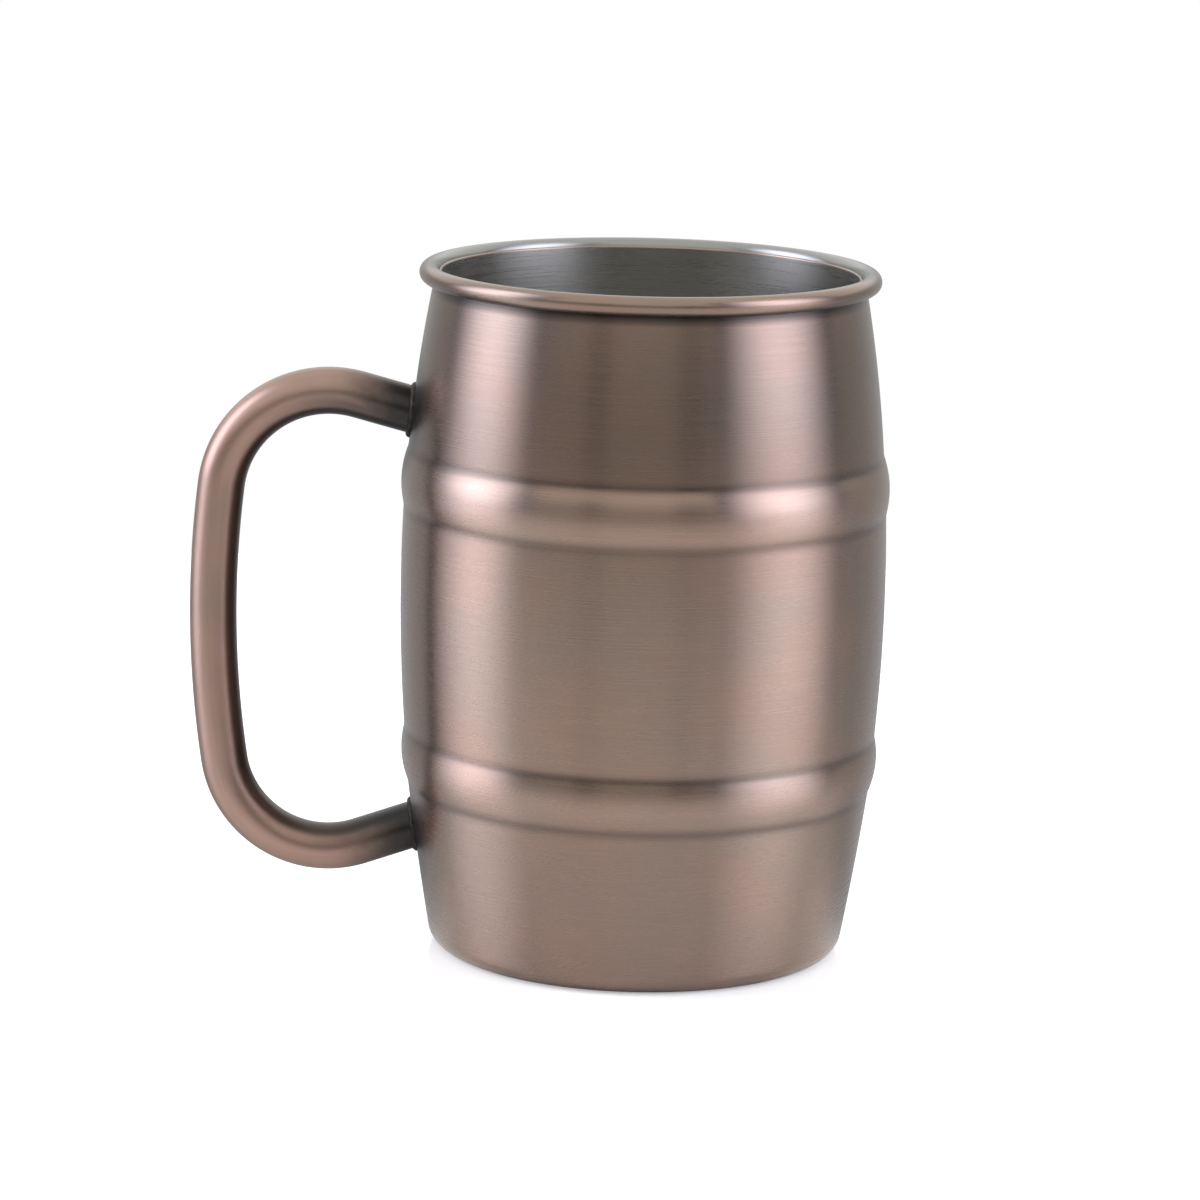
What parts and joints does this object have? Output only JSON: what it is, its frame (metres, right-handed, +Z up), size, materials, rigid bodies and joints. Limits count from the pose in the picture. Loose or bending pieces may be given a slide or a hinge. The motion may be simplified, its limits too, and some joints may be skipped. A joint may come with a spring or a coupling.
{
  "type": "barrel mug",
  "caption": "Double-walled metal mug shaped like a small keg, with rolled hoops, a rolled rim, a steel liner and a bent tube handle.",
  "frame": {"origin": "centre of the foot, on the mug's axis, at the height of the surface that the mug stands on", "axes": "+Z up along the mug's axis; the handle points to -X, and +Y is across the handle's plane"},
  "size_m": [0.1212, 0.0846, 0.12],
  "materials": {
    "antique_copper": "antique copper plate over steel, brushed round the barrel and lacquered",
    "dark_copper": "antique copper plate left dark in the corners by the welds",
    "liner_steel": "plain stainless steel with a fine turned satin"
  },
  "bodies": {
    "root": {"outer_shell": "antique_copper", "inner_cup": "liner_steel", "rim_weld": "antique_copper", "base_plate": "antique_copper", "base_weld": "dark_copper", "handle": "antique_copper", "upper_handle_weld": "dark_copper", "lower_handle_weld": "dark_copper"}
  },
  "joints": []
}
